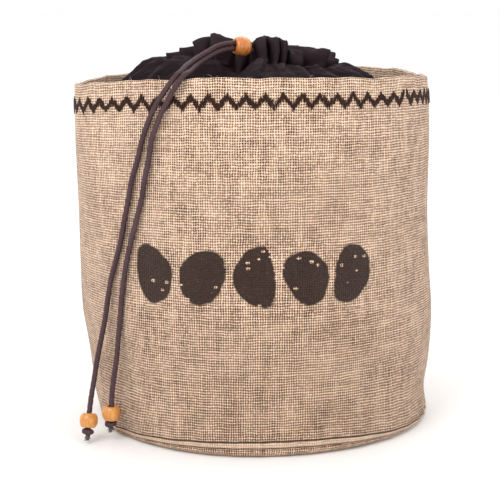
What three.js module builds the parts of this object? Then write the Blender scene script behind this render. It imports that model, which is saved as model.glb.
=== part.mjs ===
// Drawstring bag of woven jute for storing potatoes. A dark cotton lining is sewn in under the hem
// and drawn into a crown round the mouth; its two cords run through a wooden toggle bead and hang
// down the front to a bead and a knot each.
// Millimetres, +Z up, front towards -Y. The origin is the middle of the floor under the bag.

import * as THREE from 'three';
import { mergeVertices } from 'three/addons/utils/BufferGeometryUtils.js';

// Jute wall, with the heights of its sections above the seam as shares of bagHeight
const bagRadius = 131;
const bagHeight = 260;
const wallThickness = 1.8;
const hemThickness = 3.2;
const hemDepth = 27;
const wallSegments = 72;
const wallLevels = [0.105, 0.18, 0.25, 0.34, 0.52, 0.76];

// Jute base, rolled up at its edge to the seam with the wall, which settles up to settledHeight
const baseThickness = 2;
const seamHeight = 12;
const edgeRoll = 7;
const creaseDepth = 1.6;
const ridgeProud = 0.5;
const settledHeight = 60;

// Zigzag embroidery
const zigzagTeeth = 66;
const zigzagDrop = 15.6;
const zigzagSwing = 2.9;
const zigzagWobble = 0.5;
const wobbleTurn = 2.4;
const stitchLength = 4.6;
const threadThickness = 0.7;
const zigzagBreak = { angle: 53, width: 1.5 };

// Lining and its gathered crown
const liningThickness = 1.2;
const liningSegments = 76;
const casingRadius = 54;
const casingRise = 10;
const crownHeight = 16.5;
const mouthRadius = 30;

// Cords, beads and knots
const cordDiameter = 3.5;
const cordSides = 8;
const cordStep = 7;
const toggleDiameter = 14;
const toggleLength = 12;
const toggleAlong = 10;
const endBeadDiameter = 12.2;
const endBeadLength = 11.4;
const beadSegments = 12;
const knotDiameter = 7.6;
const knotLength = 8;

// Clearance between pieces that lie against each other
const seatGap = 0.3;

// The wall's reach to each side, as shares of bagRadius, at shares of bagHeight.
const wallSections = [
  { height: 0.0, left: 0.875, front: 0.97, right: 1.0, back: 0.95 },
  { height: 0.04, left: 0.885, front: 0.978, right: 1.014, back: 0.962 },
  { height: 0.105, left: 0.92, front: 0.981, right: 1.004, back: 0.975 },
  { height: 0.18, left: 0.945, front: 0.98, right: 1.02, back: 0.98 },
  { height: 0.25, left: 0.965, front: 0.985, right: 1.028, back: 0.985 },
  { height: 0.33, left: 0.986, front: 0.99, right: 1.028, back: 0.99 },
  { height: 0.45, left: 0.988, front: 0.996, right: 1.01, back: 0.996 },
  { height: 0.6, left: 0.987, front: 1.0, right: 0.998, back: 1.0 },
  { height: 0.8, left: 0.99, front: 1.0, right: 1.003, back: 1.0 },
  { height: 0.93, left: 0.982, front: 1.0, right: 0.997, back: 1.0 },
  { height: 1.0, left: 0.976, front: 0.996, right: 0.986, back: 0.994 },
];

// How far the rim hangs below bagHeight at each angle, as shares of bagHeight.
const rimSag = [
  { angle: -165, sag: 0.02 },
  { angle: -130, sag: 0.028 },
  { angle: -90, sag: 0.043 },
  { angle: -52, sag: 0.022 },
  { angle: -31, sag: 0.009 },
  { angle: 0, sag: 0.0 },
  { angle: 31, sag: 0.004 },
  { angle: 60, sag: 0.009 },
  { angle: 90, sag: 0.02 },
  { angle: 120, sag: 0.013 },
  { angle: 150, sag: 0.01 },
];

// How much of seamHeight is left at each angle where the wall settles onto the base's edge.
const seamRise = [
  { angle: -150, share: 0.7 },
  { angle: -90, share: 0.5 },
  { angle: -50, share: 0.5 },
  { angle: -20, share: 0.85 },
  { angle: 0, share: 1.0 },
  { angle: 25, share: 0.95 },
  { angle: 60, share: 0.45 },
  { angle: 100, share: 0.45 },
  { angle: 150, share: 0.7 },
];

// Dents pressed into the wall, and the corner bulging out at its rim: place, half width in degrees, half height as a share of bagHeight,
// and depth as a share of bagRadius.
const wallDents = [
  { angle: -60, height: 1.0, spread: 15, rise: 0.32, depth: -0.052 },
  { angle: -49, height: 0.2, spread: 7, rise: 0.14, depth: 0.022 },
  { angle: -62, height: 0.44, spread: 12, rise: 0.1, depth: 0.008 },
  { angle: 74, height: 0.1, spread: 12, rise: 0.035, depth: 0.012 },
  { angle: 58, height: 0.62, spread: 10, rise: 0.22, depth: 0.008 },
  { angle: 128, height: 0.55, spread: 14, rise: 0.2, depth: 0.012 },
  { angle: -130, height: 0.5, spread: 12, rise: 0.22, depth: 0.012 },
  { angle: 172, height: 0.3, spread: 14, rise: 0.14, depth: 0.012 },
];

// The lining from the wall to the casing seam: how much of the way out is left, and how much of
// the way up is done.
const moundCurve = [
  { out: 1.0, up: 0.0 },
  { out: 0.965, up: 0.015 },
  { out: 0.76, up: 0.38 },
  { out: 0.52, up: 0.7 },
  { out: 0.3, up: 0.88 },
  { out: 0.12, up: 0.97 },
];

// The crown from the casing seam over its top and down into the mouth: how much of the way in to
// the mouth is done, and height as a share of crownHeight.
const crownCurve = [
  { inward: 0.0, up: 0.0 },
  { inward: -0.03, up: 0.45 },
  { inward: 0.08, up: 0.83 },
  { inward: 0.25, up: 1.0 },
  { inward: 0.44, up: 0.95 },
  { inward: 0.68, up: 0.55 },
  { inward: 1.0, up: -0.15 },
];

// Folds round the crown: reach as a share of the radius, rise as a share of crownHeight.
const crownFolds = [
  { angle: -166, reach: -0.05, rise: -0.25 },
  { angle: -148, reach: 0.08, rise: -0.3 },
  { angle: -130, reach: -0.05, rise: -0.5 },
  { angle: -112, reach: 0.07, rise: -0.65 },
  { angle: -92, reach: 0.08, rise: -0.75 },
  { angle: -72, reach: -0.03, rise: -0.65 },
  { angle: -54, reach: 0.11, rise: -0.42 },
  { angle: -40, reach: -0.03, rise: -0.2 },
  { angle: -27, reach: 0.02, rise: -0.12 },
  { angle: -12, reach: -0.185, rise: -0.5 },
  { angle: 1, reach: -0.165, rise: -0.2 },
  { angle: 14, reach: 0.03, rise: 0.05 },
  { angle: 26, reach: -0.05, rise: -0.1 },
  { angle: 40, reach: 0.08, rise: -0.15 },
  { angle: 55, reach: -0.04, rise: -0.4 },
  { angle: 70, reach: 0.09, rise: -0.65 },
  { angle: 86, reach: -0.02, rise: -0.75 },
  { angle: 103, reach: 0.08, rise: -0.7 },
  { angle: 121, reach: -0.05, rise: -0.5 },
  { angle: 139, reach: 0.08, rise: -0.35 },
  { angle: 157, reach: -0.05, rise: -0.25 },
  { angle: 176, reach: 0.07, rise: -0.3 },
];

// Half outlines of a bead and of a knot with its frayed tail, as shares of length and of radius.
const beadCurve = [
  { along: -0.5, across: 0.7 },
  { along: -0.36, across: 0.9 },
  { along: -0.13, across: 1.0 },
  { along: 0.13, across: 1.0 },
  { along: 0.36, across: 0.9 },
  { along: 0.5, across: 0.7 },
];
const knotCurve = [
  { along: 0.0, across: 0.42 },
  { along: 0.1, across: 0.85 },
  { along: 0.3, across: 1.0 },
  { along: 0.5, across: 0.82 },
  { along: 0.6, across: 0.5 },
  { along: 1.0, across: 0.72 },
];

// Routes of the two cords, from the casing through the toggle, over the rim and down the wall.
const leftRoute = [
  [0.1, -46.7, 278.7], [-4.1, -49.7, 279.3], [-8.8, -52.4, 279.8], [-13.5, -55.1, 280.1],
  [-18.8, -59.0, 279.8], [-24.8, -64.2, 278.2], [-31.0, -70.4, 275.3], [-38.0, -79.8, 271.8],
  [-43.6, -92.2, 268.2], [-48.1, -104.4, 266.0], [-50.9, -115.4, 262.4], [-52.2, -118.3, 261.7],
  [-53.3, -120.8, 259.8], [-54.5, -122.3, 257.1], [-56.1, -122.3, 253.9], [-59.1, -121.2, 249.5],
  [-62.3, -119.7, 244.9], [-66.0, -117.6, 238.1], [-69.2, -115.1, 231.3], [-74.2, -111.6, 217.6],
  [-77.8, -108.9, 203.9], [-82.1, -105.6, 189.9], [-84.9, -103.3, 175.9], [-87.9, -100.6, 161.7],
  [-90.8, -98.0, 147.4], [-94.8, -94.0, 132.6], [-99.0, -89.8, 117.6], [-101.8, -86.6, 102.7],
  [-104.3, -84.2, 87.8], [-107.7, -81.0, 72.4], [-110.8, -79.8, 57.6], [-113.2, -81.0, 43.3],
  [-115.2, -83.6, 30.8], [-116.3, -86.6, 21.0], [-117.0, -89.8, 10.4],
];
const rightRoute = [
  [-0.1, -47.1, 274.9], [-4.3, -50.1, 275.5], [-9.0, -52.8, 276.0], [-13.7, -55.5, 276.3],
  [-18.9, -59.7, 275.9], [-24.8, -65.6, 274.2], [-30.6, -73.0, 271.2], [-36.8, -82.7, 267.7],
  [-41.1, -94.4, 264.8], [-44.2, -106.6, 262.9], [-46.0, -117.4, 262.3], [-47.1, -120.4, 261.7],
  [-48.3, -122.9, 259.8], [-49.4, -124.4, 257.1], [-50.8, -124.7, 253.9], [-53.2, -124.0, 249.9],
  [-55.9, -122.9, 245.1], [-59.5, -121.0, 238.4], [-62.6, -118.8, 231.6], [-67.6, -115.8, 218.0],
  [-70.0, -114.1, 204.4], [-72.9, -112.1, 190.7], [-75.4, -110.4, 176.9], [-79.1, -107.7, 162.8],
  [-83.1, -104.5, 148.5], [-86.5, -101.6, 134.1], [-89.3, -98.8, 119.5], [-91.3, -96.2, 104.8],
  [-92.8, -93.8, 89.9], [-94.5, -91.2, 74.9], [-96.2, -89.0, 59.9], [-98.7, -87.2, 44.7],
  [-100.2, -86.9, 31.4], [-101.0, -86.9, 15.4],
];

const colours = {
  jute: 0xcbab97,
  thread: 0x46261a,
  lining: 0x3b3035,
  cord: 0x4c383c,
  bead: 0xe6a866,
};

const radians = THREE.MathUtils.degToRad;
const { smoothstep, lerp } = THREE.MathUtils;

// The row before or after, round the turn for a table of angles, and held at the ends otherwise.
function rowAt(rows, key, index, turn) {
  const lap = turn ? Math.floor(index / rows.length) : 0;
  const inside = turn ? index - lap * rows.length : THREE.MathUtils.clamp(index, 0, rows.length - 1);
  return { ...rows[inside], [key]: rows[inside][key] + lap * turn };
}

// Smooth curve through one column of a table, read at a value of its key column.
function readTable(rows, key, column, value, turn = 0) {
  let low = turn ? -1 : 0;
  const last = turn ? rows.length : rows.length - 2;
  while (low < last && rowAt(rows, key, low + 1, turn)[key] < value) low += 1;
  const [before, start, end, after] = [-1, 0, 1, 2].map((step) => rowAt(rows, key, low + step, turn));
  const span = end[key] - start[key];
  const leave = (span * (end[column] - before[column])) / (end[key] - before[key]);
  const arrive = (span * (after[column] - start[column])) / (after[key] - start[key]);
  const t = THREE.MathUtils.clamp((value - start[key]) / span, 0, 1);
  const bend = t * (1 - t) * ((1 - t) * (leave - (end[column] - start[column]))
    - t * (arrive - (end[column] - start[column])));
  return lerp(start[column], end[column], t) + bend;
}

// The slumped wall's radius at an angle from the front and a share of the height.
function reachAt(angle, height) {
  const side = readTable(wallSections, 'height', angle > 0 ? 'right' : 'left', height);
  const end = readTable(wallSections, 'height', Math.abs(angle) < 90 ? 'front' : 'back', height);
  const reach = lerp(end, side, Math.sin(radians(angle)) ** 2);
  return wallDents.reduce((sum, dent) => {
    const turn = THREE.MathUtils.euclideanModulo(angle - dent.angle + 180, 360) - 180;
    const away = (turn / dent.spread) ** 2 + ((height - dent.height) / dent.rise) ** 2;
    return sum - dent.depth * Math.exp(-away);
  }, reach);
}

// Settles a point of the straight round bag onto the slumped one. What lies near the middle stays.
function slump(point) {
  const radius = Math.hypot(point.x, point.y);
  if (radius === 0) return;
  const angle = THREE.MathUtils.radToDeg(Math.atan2(point.x, -point.y));
  const share = THREE.MathUtils.clamp(point.z / bagHeight, 0, 1);
  const pull = smoothstep(radius / bagRadius, 0.35, 0.8);
  const settled = radius + bagRadius * (reachAt(angle, share) - 1) * pull;
  const seamDrop = seamHeight * (1 - readTable(seamRise, 'angle', 'share', angle, 360));
  const nearSeam = point.z < seamHeight
    ? point.z / seamHeight
    : 1 - smoothstep(point.z, seamHeight, settledHeight);
  const rimDrop = bagHeight * readTable(rimSag, 'angle', 'sag', angle, 360) * share ** 2;
  point.x *= settled / radius;
  point.y *= settled / radius;
  point.z -= (seamDrop * nearSeam + rimDrop) * pull;
}

// Moves every vertex of a shape.
function reshape(geometry, move) {
  const places = geometry.getAttribute('position');
  const point = new THREE.Vector3();
  for (let index = 0; index < places.count; index += 1) {
    point.fromBufferAttribute(places, index);
    move(point);
    places.setXYZ(index, point.x, point.y, point.z);
  }
  return geometry;
}

// Joins a shape's shared corners, so that it is one closed skin.
function closedSkin(geometry) {
  geometry.deleteAttribute('normal');
  geometry.deleteAttribute('uv');
  return mergeVertices(geometry, 1e-4);
}

// Turns an outline of [radius, height] points round the Z axis. The outline runs up the outside.
function revolve(outline, segments) {
  const points = outline.map(([radius, height]) => new THREE.Vector2(radius, height));
  const turned = new THREE.LatheGeometry(points, segments);
  turned.rotateX(Math.PI / 2);
  return closedSkin(turned);
}

function closeOutline(outline) {
  return [...outline, outline[0]];
}

// Gives an open line of [radius, height] points a thickness on its right-hand side.
function thicken(line, thickness) {
  const inner = line.map(([radius, height], index) => {
    const before = line[Math.max(index - 1, 0)];
    const after = line[Math.min(index + 1, line.length - 1)];
    const along = new THREE.Vector2(after[0] - before[0], after[1] - before[1]).normalize();
    return [radius - along.y * thickness, height + along.x * thickness];
  });
  return [...line, ...inner.reverse()];
}

function juteWall() {
  const rimRoll = hemThickness / 2;
  const levels = [seamHeight, ...wallLevels.map((share) => share * bagHeight)];
  const outside = levels.map((height) => [bagRadius, height]);
  const rim = [0, 45, 90, 135, 180].map((turn) => [
    bagRadius - rimRoll + rimRoll * Math.cos(radians(turn)),
    bagHeight - rimRoll + rimRoll * Math.sin(radians(turn)),
  ]);
  const hemFoot = bagHeight - hemDepth;
  const hem = [[bagRadius - hemThickness, hemFoot], [bagRadius - wallThickness, hemFoot]];
  const inside = levels.map((height) => [bagRadius - wallThickness, height]).reverse();
  return reshape(revolve(closeOutline([...outside, ...rim, ...hem, ...inside]), wallSegments), slump);
}

function basePanel() {
  const flatRadius = bagRadius - edgeRoll;
  const arc = (radius, turn) => [
    flatRadius + radius * Math.sin(radians(turn)),
    edgeRoll - radius * Math.cos(radians(turn)),
  ];
  const top = seamHeight - seatGap;
  const outline = [
    [0, 0],
    [flatRadius * 0.6, 0],
    [flatRadius, 0],
    arc(edgeRoll, 32),
    arc(edgeRoll, 64),
    [bagRadius - creaseDepth, edgeRoll],
    [bagRadius + ridgeProud, lerp(edgeRoll, seamHeight, 0.5)],
    [bagRadius - ridgeProud, top],
    [bagRadius - ridgeProud - baseThickness, top],
    arc(edgeRoll - baseThickness, 64),
    [flatRadius, baseThickness],
    [0, baseThickness],
  ];
  return reshape(revolve(outline, wallSegments), slump);
}

// The zigzag is drawn flat as arc length and height, then wrapped round the wall.
function zigzagStitching() {
  const ring = bagRadius + seatGap;
  const length = radians(360 - zigzagBreak.width) * ring;
  const turns = zigzagTeeth * 2;
  const middle = bagHeight - zigzagDrop;
  const edge = (side) => Array.from({ length: turns + 1 }, (_, index) => new THREE.Vector2(
    (length * index) / turns,
    middle + (index % 2 ? -zigzagSwing : zigzagSwing)
      + zigzagWobble * Math.sin(index * wobbleTurn) + side * (stitchLength / 2),
  ));
  const band = new THREE.Shape([...edge(-1), ...edge(1).reverse()]);
  const flat = closedSkin(new THREE.ExtrudeGeometry(band, { depth: threadThickness, bevelEnabled: false }));
  const start = radians(zigzagBreak.angle + zigzagBreak.width / 2);
  return reshape(flat, (point) => {
    const angle = start + point.x / ring;
    const radius = ring + point.z;
    point.set(radius * Math.sin(angle), -radius * Math.cos(angle), point.y);
    slump(point);
  });
}

function gatheredLining() {
  const seatRadius = bagRadius - wallThickness - seatGap;
  const seatHeight = bagHeight - hemDepth - liningThickness - seatGap;
  const casingHeight = bagHeight + casingRise;
  const mound = moundCurve.map(({ out, up }) => [
    lerp(casingRadius, seatRadius, out),
    lerp(seatHeight, casingHeight, up),
  ]);
  const crown = crownCurve.map(({ inward, up }) => [
    lerp(casingRadius, mouthRadius, inward),
    casingHeight + crownHeight * up,
  ]);
  const skin = revolve(closeOutline(thicken([...mound, ...crown], liningThickness)), liningSegments);
  const fold = (point) => {
    const radius = Math.hypot(point.x, point.y);
    const angle = THREE.MathUtils.radToDeg(Math.atan2(point.x, -point.y));
    const share = 1 - smoothstep(radius, casingRadius, seatRadius);
    const reach = 1 + share * readTable(crownFolds, 'angle', 'reach', angle, 360);
    const above = smoothstep(point.z, casingHeight, casingHeight + crownHeight);
    point.x *= reach;
    point.y *= reach;
    point.z += crownHeight * above * readTable(crownFolds, 'angle', 'rise', angle, 360);
    slump(point);
  };
  return reshape(skin, fold);
}

function cordPath(route) {
  return new THREE.CatmullRomCurve3(route.map((place) => new THREE.Vector3(...place)));
}

function cordTube(path) {
  const section = new THREE.Shape(Array.from({ length: cordSides }, (_, side) => {
    const turn = (side / cordSides) * Math.PI * 2;
    return new THREE.Vector2(Math.cos(turn), Math.sin(turn)).multiplyScalar(cordDiameter / 2);
  }));
  const steps = Math.round(path.getLength() / cordStep);
  return closedSkin(new THREE.ExtrudeGeometry(section, { steps, extrudePath: path }));
}

function drilledBead(length, diameter, bore) {
  const outside = beadCurve.map(({ along, across }) => [(across * diameter) / 2, along * length]);
  const hole = [[bore / 2, length / 2], [bore / 2, -length / 2]];
  return revolve(closeOutline([...outside, ...hole]), beadSegments);
}

// The knot hangs down from its origin, which is its top.
function tiedKnot() {
  const outside = knotCurve.map(({ along, across }) => [(across * knotDiameter) / 2, -along * knotLength]);
  return revolve([[0, -knotLength], ...outside.reverse(), [0, 0]], beadSegments);
}

function named(name, geometry, colour, roughness) {
  geometry.computeVertexNormals();
  const finish = new THREE.MeshStandardMaterial({ color: colour, roughness, metalness: 0 });
  const mesh = new THREE.Mesh(geometry, finish);
  mesh.name = name;
  return mesh;
}

// Puts a mesh at a place, with its Z axis along a direction.
function placed(mesh, place, direction) {
  mesh.position.copy(place);
  mesh.quaternion.setFromUnitVectors(new THREE.Vector3(0, 0, 1), direction.clone().normalize());
  return mesh;
}

// One cord with the bead and the knot at its end.
function cordWithEnd(side, path) {
  const length = path.getLength();
  const beadAt = 1 - (endBeadLength / 2 + seatGap) / length;
  const bore = cordDiameter + seatGap * 2;
  const tip = path.getPointAt(1);
  const down = path.getTangentAt(1);
  const cord = named(`cord_${side}`, cordTube(path), colours.cord, 0.85);
  const bead = named(`end_bead_${side}`, drilledBead(endBeadLength, endBeadDiameter, bore), colours.bead, 0.45);
  const knot = named(`end_knot_${side}`, tiedKnot(), colours.cord, 0.9);
  placed(bead, path.getPointAt(beadAt), path.getTangentAt(beadAt));
  placed(knot, tip.addScaledVector(down, seatGap), down.clone().negate());
  return [cord, bead, knot];
}

// The toggle sits round both cords, half way between them.
function toggleBead(leftPath, rightPath) {
  const share = toggleAlong / leftPath.getLength();
  const left = leftPath.getPointAt(share);
  const right = rightPath.getPointAt(toggleAlong / rightPath.getLength());
  const bore = cordDiameter + left.distanceTo(right) + seatGap * 2;
  const bead = named('toggle_bead', drilledBead(toggleLength, toggleDiameter, bore), colours.bead, 0.45);
  return placed(bead, left.add(right).multiplyScalar(0.5), leftPath.getTangentAt(share));
}

const leftPath = cordPath(leftRoute);
const rightPath = cordPath(rightRoute);
const bag = new THREE.Group();
bag.add(
  named('jute_wall', juteWall(), colours.jute, 0.95),
  named('base_panel', basePanel(), colours.jute, 0.95),
  named('zigzag_stitching', zigzagStitching(), colours.thread, 0.8),
  named('gathered_lining', gatheredLining(), colours.lining, 0.8),
  toggleBead(leftPath, rightPath),
  ...cordWithEnd('left', leftPath),
  ...cordWithEnd('right', rightPath),
);

export default bag;
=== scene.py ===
import math
import bpy
import numpy as np
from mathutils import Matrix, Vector


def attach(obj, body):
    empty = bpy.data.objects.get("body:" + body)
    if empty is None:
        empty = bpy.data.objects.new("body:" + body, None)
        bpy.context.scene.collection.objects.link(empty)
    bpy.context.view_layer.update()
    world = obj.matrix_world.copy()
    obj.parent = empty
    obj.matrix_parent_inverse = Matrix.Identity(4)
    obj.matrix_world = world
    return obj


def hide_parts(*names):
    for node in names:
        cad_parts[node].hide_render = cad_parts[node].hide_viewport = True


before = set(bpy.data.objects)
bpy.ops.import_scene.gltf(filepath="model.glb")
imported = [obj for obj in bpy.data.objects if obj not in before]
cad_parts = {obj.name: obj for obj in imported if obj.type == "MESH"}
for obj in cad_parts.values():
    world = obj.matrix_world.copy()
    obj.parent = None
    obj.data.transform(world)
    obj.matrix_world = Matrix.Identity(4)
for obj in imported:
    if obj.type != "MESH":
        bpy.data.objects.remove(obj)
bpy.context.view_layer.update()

# Potato storage bag of woven jute with a gathered cotton lining, cords and wooden beads.
# Everything is in metres in the frame's own axes: +Z up, the front towards -Y.

mm = 0.001
chance = np.random.default_rng(46)

bag = {
    "radius": 131 * mm,
    "height": 260 * mm,
    "wall": 1.8 * mm,
    "hem": 3.2 * mm,
    "hemDepth": 27 * mm,
    "seam": 12 * mm,        # height of the seam between wall and base
    "settled": 60 * mm,     # the wall sags onto the base up to here
    "gap": 0.3 * mm,
}

# How far the wall leans out to each side, and how it hangs, as shares of radius and height
wallSections = {
    "height": [0.0, 0.04, 0.105, 0.18, 0.25, 0.33, 0.45, 0.6, 0.8, 0.93, 1.0],
    "left": [0.875, 0.885, 0.92, 0.945, 0.965, 0.986, 0.99, 0.992, 0.999, 0.997, 0.992],
    "front": [0.97, 0.978, 0.981, 0.98, 0.985, 0.99, 0.996, 1.0, 1.0, 1.0, 0.996],
    "right": [1.0, 1.014, 1.004, 1.02, 1.028, 1.028, 1.01, 0.998, 1.003, 0.997, 0.986],
    "back": [0.95, 0.962, 0.975, 0.98, 0.985, 0.99, 0.996, 1.0, 1.0, 1.0, 0.994],
}
rimSag = {
    "angle": [-165, -130, -90, -52, -31, 0, 31, 60, 90, 120, 150],
    "sag": [0.02, 0.028, 0.043, 0.022, 0.009, 0.0, 0.004, 0.009, 0.02, 0.013, 0.01],
}
seamRise = {
    "angle": [-150, -90, -50, -20, 0, 25, 60, 100, 150],
    "share": [0.7, 0.5, 0.5, 0.85, 1.0, 0.95, 0.45, 0.45, 0.7],
}
wallDents = [
    {"angle": -60, "height": 1.0, "spread": 15, "rise": 0.32, "depth": -0.052},
    {"angle": -60, "height": 0.0, "spread": 13, "rise": 0.12, "depth": -0.02},
    {"angle": -49, "height": 0.2, "spread": 7, "rise": 0.14, "depth": 0.022},
    {"angle": -62, "height": 0.44, "spread": 12, "rise": 0.1, "depth": 0.008},
    {"angle": 74, "height": 0.1, "spread": 12, "rise": 0.035, "depth": 0.012},
    {"angle": 58, "height": 0.62, "spread": 10, "rise": 0.22, "depth": 0.008},
    {"angle": 128, "height": 0.55, "spread": 14, "rise": 0.2, "depth": 0.012},
    {"angle": -130, "height": 0.5, "spread": 12, "rise": 0.22, "depth": 0.012},
    {"angle": 172, "height": 0.3, "spread": 14, "rise": 0.14, "depth": 0.012},
]
# Shallow ripples that only cloth shows: waves round, waves up, start and depth
ripples = [
    (3, 0.7, 2.1, 0.5 * mm),
    (7, -1.1, 1.0, 0.35 * mm),
    (12, 1.6, 0.4, 0.25 * mm),
    (19, 2.3, 4.0, 0.12 * mm),
]
# Small waves of the rim: waves round, start and depth
rimWaves = [(11, 0.4, 0.35 * mm), (17, 2.0, 0.3 * mm), (29, 1.1, 0.2 * mm), (47, 0.2, 0.12 * mm)]
puckers = {"round": 34, "height": 17 * mm, "reach": 14 * mm, "depth": 0.5 * mm, "driftWaves": 5, "drift": 2.5}
fades = {
    "pull": (0.35, 0.8),    # shares of the radius between which points begin to follow the wall
    "ripples": (0.03, 0.2), "rimWaves": (0.9, 1.0),     # shares of the height between which these set in
    "upTurn": 6,            # radians over the height for one wave up
}


def smoothStep(value, low, high):
    share = np.clip((value - low) / (high - low), 0, 1)
    return share * share * (3 - 2 * share)


def readTable(keys, values, at, turn=0):
    # smooth curve through a table; turn closes a table of angles on itself
    keys, values = np.array(keys, float), np.array(values, float)
    if turn:
        keys = np.concatenate([keys[-2:] - turn, keys, keys[:2] + turn])
        values = np.concatenate([values[-2:], values, values[:2]])
    else:
        keys = np.concatenate([keys[:1], keys, keys[-1:]])
        values = np.concatenate([values[:1], values, values[-1:]])
    low = np.clip(np.searchsorted(keys, at) - 1, 1, len(keys) - 3)
    start, end = values[low], values[low + 1]
    span = keys[low + 1] - keys[low]
    leave = span * (end - values[low - 1]) / (keys[low + 1] - keys[low - 1])
    arrive = span * (values[low + 2] - start) / (keys[low + 2] - keys[low])
    share = np.clip((at - keys[low]) / span, 0, 1)
    bend = share * (1 - share) * ((1 - share) * (leave - (end - start)) - share * (arrive - (end - start)))
    return start + (end - start) * share + bend


def roundTable(table, name, at):
    return readTable(table["angle"], table[name], at, 360)


def ringTurns(count, start=0.0):
    # the angles of evenly spaced points round a ring
    return np.linspace(start, start + 2 * math.pi, count, endpoint=False)


def outwards(turn):
    return np.stack([np.sin(turn), -np.cos(turn)], axis=1)


def slump(points):
    # settles points of the straight round bag onto the slumped one
    x, y, z = np.asarray(points, float).reshape(-1, 3).T
    radius = np.maximum(np.hypot(x, y), 1e-9)
    angle = np.degrees(np.arctan2(x, -y))
    turn = np.radians(angle)
    share = np.clip(z / bag["height"], 0, 1)
    sides = {name: readTable(wallSections["height"], wallSections[name], share)
             for name in ("left", "front", "right", "back")}
    side = np.where(angle > 0, sides["right"], sides["left"])
    end = np.where(abs(angle) < 90, sides["front"], sides["back"])
    reach = end + (side - end) * np.sin(turn) ** 2
    for dent in wallDents:
        away = ((angle - dent["angle"] + 180) % 360 - 180) / dent["spread"]
        away = away ** 2 + ((share - dent["height"]) / dent["rise"]) ** 2
        reach = reach - dent["depth"] * np.exp(-away)
    pull = smoothStep(radius / bag["radius"], *fades["pull"])
    ripple = sum(deep * np.sin(around * turn + up * share * fades["upTurn"] + start)
                 for around, up, start, deep in ripples)
    ripple = ripple * smoothStep(share, *fades["ripples"])
    drift = puckers["drift"] * np.sin(puckers["driftWaves"] * turn)
    pucker = puckers["depth"] * np.sin(puckers["round"] * turn + drift)
    pucker = pucker * np.exp(-((z - puckers["height"]) / puckers["reach"]) ** 2)
    settled = radius + (bag["radius"] * (reach - 1) + ripple + pucker) * pull
    seamDrop = bag["seam"] * (1 - roundTable(seamRise, "share", angle))
    nearSeam = np.where(z < bag["seam"], z / bag["seam"], 1 - smoothStep(z, bag["seam"], bag["settled"]))
    rimDrop = bag["height"] * roundTable(rimSag, "sag", angle) * share ** 2
    wave = sum(deep * np.sin(around * turn + start) for around, start, deep in rimWaves)
    drop = (seamDrop * nearSeam + rimDrop + wave * smoothStep(share, *fades["rimWaves"])) * pull
    return np.stack([x * settled / radius, y * settled / radius, z - drop], axis=1)


def addMesh(name, points, faces, uv=None):
    mesh = bpy.data.meshes.new(name)
    faces = faces.tolist() if isinstance(faces, np.ndarray) else faces
    mesh.from_pydata(np.asarray(points, float).reshape(-1, 3).tolist(), [], faces)
    if uv is not None:
        mesh.uv_layers.new(name="cloth").data.foreach_set("uv", np.asarray(uv, float).ravel())
    mesh.polygons.foreach_set("use_smooth", [True] * len(mesh.polygons))
    mesh.update()
    piece = bpy.data.objects.new(name, mesh)
    bpy.context.collection.objects.link(piece)
    return piece


def gridFaces(across, along, closedAcross=True, closedAlong=False):
    # quads of a grid whose points run along first, then across
    i, j = np.meshgrid(np.arange(across if closedAcross else across - 1),
                       np.arange(along if closedAlong else along - 1), indexing="ij")
    i, j = i.ravel(), j.ravel()
    k, m = (i + 1) % across, (j + 1) % along
    return np.stack([i * along + j, k * along + j, k * along + m, i * along + m], axis=1), i, j


def clothCorners(left, right, low, high):
    # the four corners of each face on the flat cloth
    corners = [(left, low), (right, low), (right, high), (left, high)]
    return np.stack([np.stack(corner, axis=1) for corner in corners], axis=1)


def turnedSkin(name, profile, segments):
    # turns a profile of radius, height and cloth length round Z; its UV is the cloth in metres
    points = np.empty((segments, len(profile), 3))
    points[..., :2] = outwards(ringTurns(segments, -math.pi))[:, None, :] * profile[None, :, :1]
    points[..., 2] = profile[None, :, 1]
    faces, i, j = gridFaces(segments, len(profile), closedAlong=True)
    step = 2 * math.pi / segments * bag["radius"]
    length = np.append(profile[:, 2], profile[-1, 2])
    left = (i - segments / 2) * step
    uv = clothCorners(left, left + step, length[j], length[j + 1])
    return addMesh(name, slump(points), faces, uv)


def clothLength(profile):
    # adds to each point of a profile how much cloth lies before it
    profile = np.asarray(profile, float)
    steps = np.hypot(*np.diff(profile, axis=0).T)
    return np.column_stack([profile, profile[0, 1] + np.concatenate([[0], np.cumsum(steps)])])


# Materials

class Wire:
    # a socket that can be used in sums
    def __init__(self, finish, socket):
        self.finish, self.socket = finish, socket

    def maths(self, how, *others):
        return self.finish.maths(how, self, *others)

    def clamp(self):
        return self.finish.node("ShaderNodeClamp", {}, {0: self})

    def __add__(self, other):
        return self.maths("ADD", other)

    def __sub__(self, other):
        return self.maths("SUBTRACT", other)

    def __rsub__(self, other):
        return self.finish.maths("SUBTRACT", other, self)

    def __mul__(self, other):
        return self.maths("MULTIPLY", other)

    def __truediv__(self, other):
        return self.maths("DIVIDE", other)

    def __pow__(self, other):
        return self.maths("POWER", other)

    def __abs__(self):
        return self.maths("ABSOLUTE")

    __radd__ = __add__


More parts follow.
